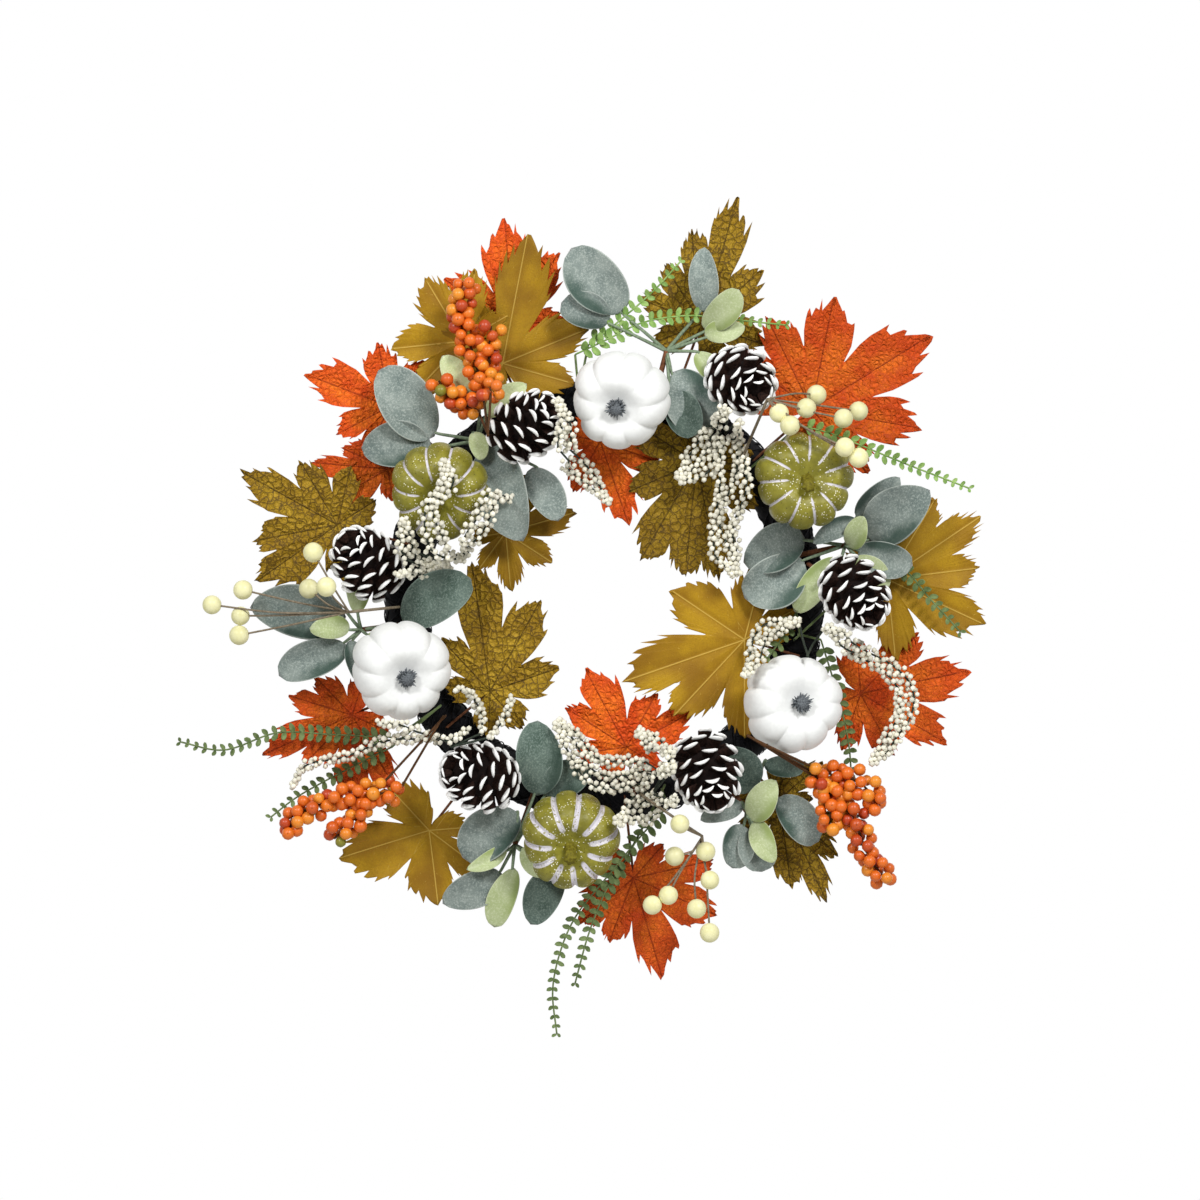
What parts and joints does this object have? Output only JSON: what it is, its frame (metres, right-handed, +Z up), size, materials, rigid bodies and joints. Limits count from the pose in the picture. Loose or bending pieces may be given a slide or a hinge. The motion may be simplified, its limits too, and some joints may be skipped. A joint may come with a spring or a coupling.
{
  "type": "harvest door wreath",
  "caption": "Round door wreath of pumpkins, pine cones, pressed leaves, lamb's-ear, ferns and berries on wire picks in a fibre-wrapped ring.",
  "frame": {"origin": "the hook seat: the highest point of the ring's inner side, where a door hook carries the wreath", "axes": "+Z up the door, -Y out of the door towards the viewer, +X to the viewer's right; the door is on the +Y side"},
  "size_m": [0.6121, 0.1219, 0.6374],
  "materials": {
    "steel_wire": "bare drawn wire",
    "black_fibre": "matte fine strands",
    "white_foam": "matte painted foam",
    "charcoal_stem": "bristly flock",
    "olive_foam": "glitter paint",
    "cone_brown": "dry scales, white tips",
    "orange_fabric": "embossed",
    "gold_embossed_fabric": "embossed",
    "gold_smooth_fabric": "printed veins",
    "lambs_ear_flock": "flocked",
    "fern_plastic": "matte",
    "small_white_berry": "matte",
    "orange_berry": "satin",
    "cream_berry": "satin"
  },
  "bodies": {
    "wreath": {"steel_hoop": "steel_wire", "fibre_wrapped_ring": "black_fibre", "orange_maple_leaf_top": "orange_fabric", "orange_maple_leaf_upper_left": "orange_fabric", "orange_maple_leaf_left": "orange_fabric", "orange_maple_leaf_centre": "orange_fabric", "orange_maple_leaf_upper_right": "orange_fabric", "orange_maple_leaf_right": "orange_fabric", "orange_maple_leaf_bottom": "orange_fabric", "orange_maple_leaf_lower_centre": "orange_fabric", "orange_maple_leaf_lower_left": "orange_fabric", "gold_embossed_leaf_top": "gold_embossed_fabric", "gold_embossed_leaf_left": "gold_embossed_fabric", "gold_embossed_leaf_centre": "gold_embossed_fabric", "gold_embossed_leaf_lower_left": "gold_embossed_fabric", "gold_embossed_leaf_lower_right": "gold_embossed_fabric", "gold_smooth_leaf_upper_left": "gold_smooth_fabric", "gold_smooth_leaf_top": "gold_smooth_fabric", "gold_smooth_leaf_centre": "gold_smooth_fabric", "gold_smooth_leaf_lower_centre": "gold_smooth_fabric", "gold_smooth_leaf_right": "gold_smooth_fabric", "gold_smooth_leaf_bottom": "gold_smooth_fabric", "lambs_ear_spray_upper_left": "lambs_ear_flock", "lambs_ear_spray_top": "lambs_ear_flock", "lambs_ear_spray_right": "lambs_ear_flock", "lambs_ear_spray_left": "lambs_ear_flock", "lambs_ear_spray_bottom": "lambs_ear_flock", "lambs_ear_spray_lower_right": "lambs_ear_flock", "fern_pick_top": "fern_plastic", "fern_pick_right": "fern_plastic", "small_white_berry_spray_left": "small_white_berry", "small_white_berry_spray_upper": "small_white_berry", "small_white_berry_spray_right": "small_white_berry", "small_white_berry_spray_lower_left": "small_white_berry", "small_white_berry_spray_bottom": "small_white_berry", "small_white_berry_spray_lower_right": "small_white_berry", "orange_berry_spray_upper_left": "orange_berry", "orange_berry_spray_lower_left": "orange_berry", "orange_berry_spray_right": "orange_berry", "white_pumpkin_top": "white_foam", "white_pumpkin_stem_top": "charcoal_stem", "white_pumpkin_left": "white_foam", "white_pumpkin_stem_left": "charcoal_stem", "white_pumpkin_right": "white_foam", "white_pumpkin_stem_right": "charcoal_stem", "green_pumpkin_upper_left": "olive_foam", "green_pumpkin_upper_right": "olive_foam", "green_pumpkin_bottom": "olive_foam", "pine_cone_upper_left": "cone_brown", "pine_cone_upper_right": "cone_brown", "pine_cone_left": "cone_brown", "pine_cone_lower_left": "cone_brown", "pine_cone_right": "cone_brown", "pine_cone_lower_right": "cone_brown"},
    "cream_berry_spray_left": {"cream_berry_spray_left": "cream_berry"},
    "cream_berry_spray_upper_right": {"cream_berry_spray_upper_right": "cream_berry"},
    "cream_berry_spray_bottom": {"cream_berry_spray_bottom": "cream_berry"},
    "fern_pick_upper_right": {"fern_pick_upper_right": "fern_plastic"},
    "fern_pick_left": {"fern_pick_left": "fern_plastic"},
    "fern_pick_bottom": {"fern_pick_bottom": "fern_plastic"}
  },
  "joints": [
    {"name": "cream_berry_spray_left_swing", "type": "hinge", "parent": "wreath", "child": "cream_berry_spray_left", "pos_m": [-0.1559, -0.02, -0.13844], "axis": [0, 1, 0], "range_deg": [-12, 12]},
    {"name": "cream_berry_spray_upper_right_swing", "type": "hinge", "parent": "wreath", "child": "cream_berry_spray_upper_right", "pos_m": [0.1042, -0.02, -0.0251], "axis": [0, 1, 0], "range_deg": [-12, 9]},
    {"name": "cream_berry_spray_bottom_swing", "type": "hinge", "parent": "wreath", "child": "cream_berry_spray_bottom", "pos_m": [0.02991, -0.02, -0.27999], "axis": [0, 1, 0], "range_deg": [-4, 12]},
    {"name": "fern_pick_upper_right_swing", "type": "hinge", "parent": "wreath", "child": "fern_pick_upper_right", "pos_m": [0.11147, -0.02, -0.03263], "axis": [0, 1, 0], "range_deg": [-12, 12]},
    {"name": "fern_pick_left_swing", "type": "hinge", "parent": "wreath", "child": "fern_pick_left", "pos_m": [-0.1258, -0.02, -0.2147], "axis": [0, 1, 0], "range_deg": [-12, 12]},
    {"name": "fern_pick_bottom_swing", "type": "hinge", "parent": "wreath", "child": "fern_pick_bottom", "pos_m": [0.04386, -0.02, -0.27645], "axis": [0, 1, 0], "range_deg": [-12, 5]}
  ]
}
